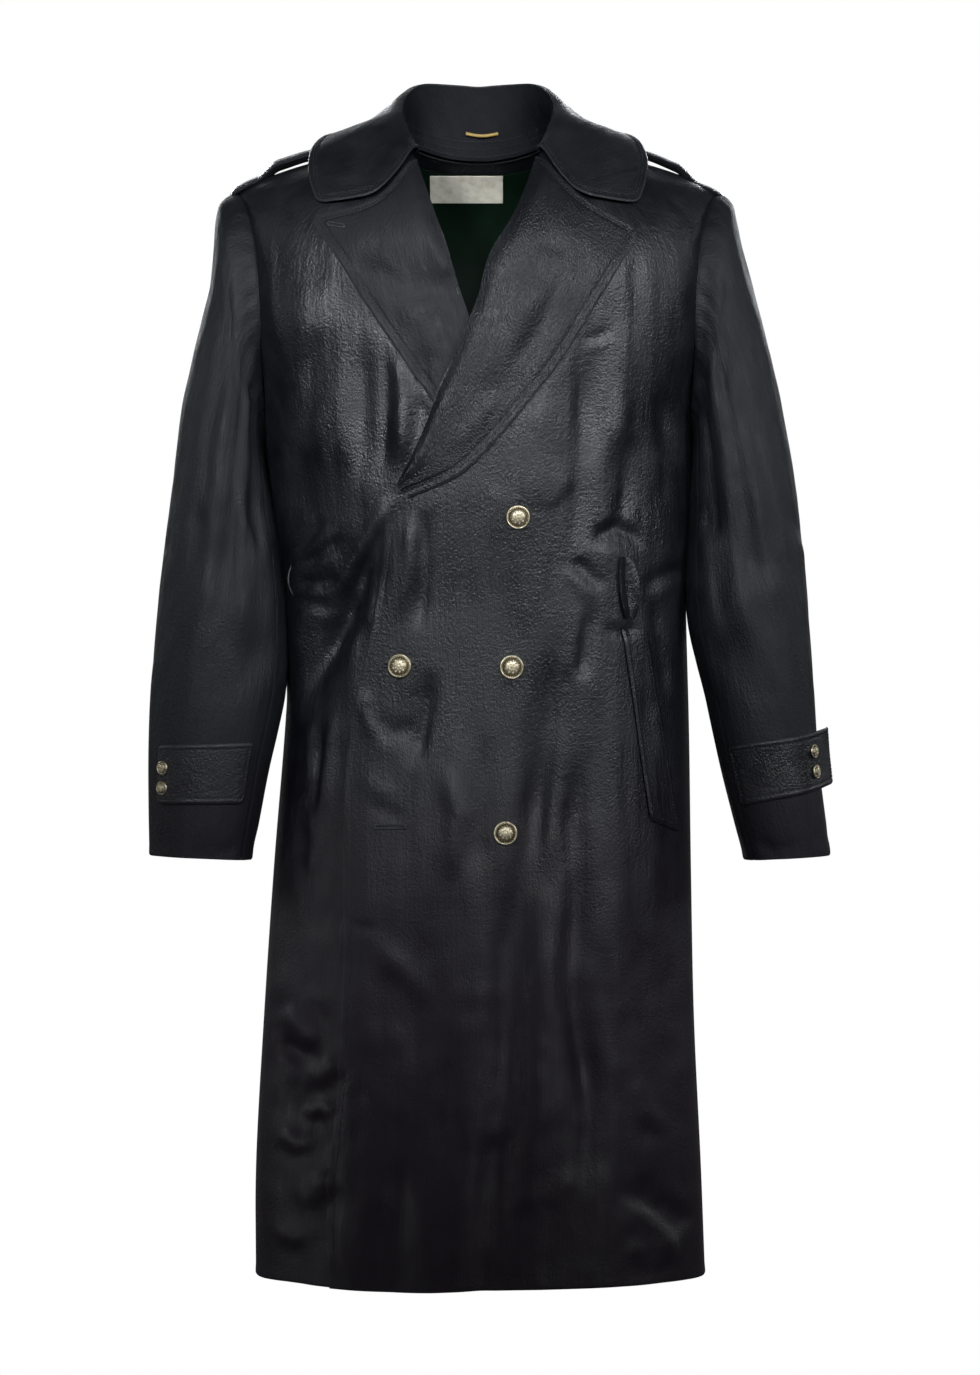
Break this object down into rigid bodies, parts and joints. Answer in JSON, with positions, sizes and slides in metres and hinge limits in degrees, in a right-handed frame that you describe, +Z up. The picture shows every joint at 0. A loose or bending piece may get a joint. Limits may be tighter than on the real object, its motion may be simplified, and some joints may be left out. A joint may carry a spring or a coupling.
{
  "type": "raincoat",
  "caption": "Black double-breasted raincoat, hollow as worn, with turned collar, peaked lapels, epaulettes, cuff straps and brass buttons.",
  "frame": {"origin": "inside the neck, between the shoulders, at the height of the back neck seam, where the wearer's shoulders hold the coat", "axes": "+Z up, -Y towards the coat's front, +X towards the wearer's left"},
  "size_m": [0.6791, 0.3068, 1.2002],
  "materials": {
    "shell_cloth": "waxed, satin",
    "lining_cloth": "woven, matt",
    "label_cloth": "woven, matt",
    "loop_thread": "matt",
    "hanger_cord": "metallic thread",
    "button_brass": "polished"
  },
  "bodies": {
    "root": {"back": "shell_cloth", "front_left": "shell_cloth", "front_right": "shell_cloth", "lapel_left": "shell_cloth", "lapel_right": "shell_cloth", "collar_stand": "shell_cloth", "collar_fall": "shell_cloth", "sleeve_top_left": "shell_cloth", "sleeve_under_left": "shell_cloth", "sleeve_top_right": "shell_cloth", "sleeve_under_right": "shell_cloth", "epaulette_left": "shell_cloth", "epaulette_right": "shell_cloth", "sleeve_strap_left": "shell_cloth", "sleeve_strap_right": "shell_cloth", "pocket_welt_left": "shell_cloth", "belt_loop_left": "shell_cloth", "belt_loop_right": "loop_thread", "lining_back": "lining_cloth", "label": "label_cloth", "hanger_loop": "hanger_cord", "front_button_1": "button_brass", "front_button_2": "button_brass", "front_button_3": "button_brass", "front_button_4": "button_brass", "sleeve_button_1": "button_brass", "sleeve_button_2": "button_brass", "sleeve_button_3": "button_brass", "sleeve_button_4": "button_brass"}
  },
  "joints": []
}
